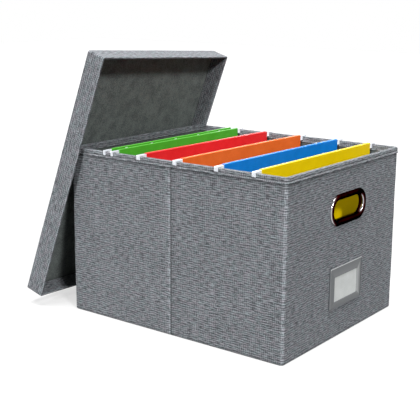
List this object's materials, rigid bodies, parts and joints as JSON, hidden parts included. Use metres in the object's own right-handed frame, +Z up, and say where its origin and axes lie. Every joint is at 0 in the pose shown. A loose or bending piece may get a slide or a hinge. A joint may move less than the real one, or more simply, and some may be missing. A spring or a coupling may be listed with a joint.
{
  "type": "file box",
  "caption": "Fabric-covered rectangular file box with a lift-off lid leaning on one end, oval hand grips, a front label holder and coloured hanging folders on its rims.",
  "frame": {"origin": "middle of the box's base on the floor (the lid isn't counted)", "axes": "+Z up; +X towards the end with the label holder; Y across the box, folders hang from wall to wall along Y"},
  "size_m": [0.4936, 0.3659, 0.4079],
  "materials": {
    "linen": "grey heathered linen weave, laminated to the boards",
    "board": "grey board, hidden",
    "insert": "board faced with dark grey cloth",
    "lining": "dark grey non-woven cloth",
    "grommet": "polished, near black with a maroon cast",
    "label_frame": "smooth grey, satin",
    "card": "plain light grey card",
    "green_stock": "coloured folder stock",
    "red_stock": "coloured folder stock",
    "orange_stock": "coloured folder stock",
    "blue_stock": "coloured folder stock",
    "yellow_stock": "coloured folder stock",
    "rod": "white, satin"
  },
  "bodies": {
    "box": {"base_cover": "linen", "base_board": "board", "base_insert": "insert", "side_cover": "linen", "lining": "lining", "rim_binding": "linen", "front_board": "board", "rear_board": "board", "near_front_board": "board", "near_rear_board": "board", "far_front_board": "board", "far_rear_board": "board", "front_grommet": "grommet", "front_grommet_ring": "grommet", "rear_grommet": "grommet", "rear_grommet_ring": "grommet", "label_holder": "label_frame"},
    "lid": {"lid_cover": "linen", "lid_panel_board": "board", "lid_lining": "lining", "lid_top_board": "board", "lid_top_wrap": "linen", "lid_near_board": "board", "lid_near_wrap": "linen", "lid_foot_board": "board", "lid_foot_wrap": "linen", "lid_far_board": "board", "lid_far_wrap": "linen"},
    "card": {"label_card": "card"},
    "green_folder": {"green_folder_sheet": "green_stock", "green_folder_front_rod": "rod", "green_folder_rear_rod": "rod"},
    "red_folder": {"red_folder_sheet": "red_stock", "red_folder_front_rod": "rod", "red_folder_rear_rod": "rod"},
    "orange_folder": {"orange_folder_sheet": "orange_stock", "orange_folder_front_rod": "rod", "orange_folder_rear_rod": "rod"},
    "blue_folder": {"blue_folder_sheet": "blue_stock", "blue_folder_front_rod": "rod", "blue_folder_rear_rod": "rod"},
    "yellow_folder": {"yellow_folder_sheet": "yellow_stock", "yellow_folder_front_rod": "rod", "yellow_folder_rear_rod": "rod"}
  },
  "joints": [
    {"name": "lid_lift", "type": "slide", "parent": "box", "child": "lid", "axis": [-0.9504, -0.0481, 0.3074], "range_m": [0, 0.25]},
    {"name": "card_slide", "type": "slide", "parent": "box", "child": "card", "axis": [0, 0, 1], "range_m": [0, 0.055]},
    {"name": "green_folder_slide", "type": "slide", "parent": "box", "child": "green_folder", "axis": [1, 0, 0], "range_m": [-0.035, 0.024]},
    {"name": "red_folder_slide", "type": "slide", "parent": "box", "child": "red_folder", "axis": [1, 0, 0], "range_m": [-0.024, 0.03]},
    {"name": "orange_folder_slide", "type": "slide", "parent": "box", "child": "orange_folder", "axis": [1, 0, 0], "range_m": [-0.03, 0.032]},
    {"name": "blue_folder_slide", "type": "slide", "parent": "box", "child": "blue_folder", "axis": [1, 0, 0], "range_m": [-0.032, 0.026]},
    {"name": "yellow_folder_slide", "type": "slide", "parent": "box", "child": "yellow_folder", "axis": [1, 0, 0], "range_m": [-0.026, 0.032]}
  ]
}
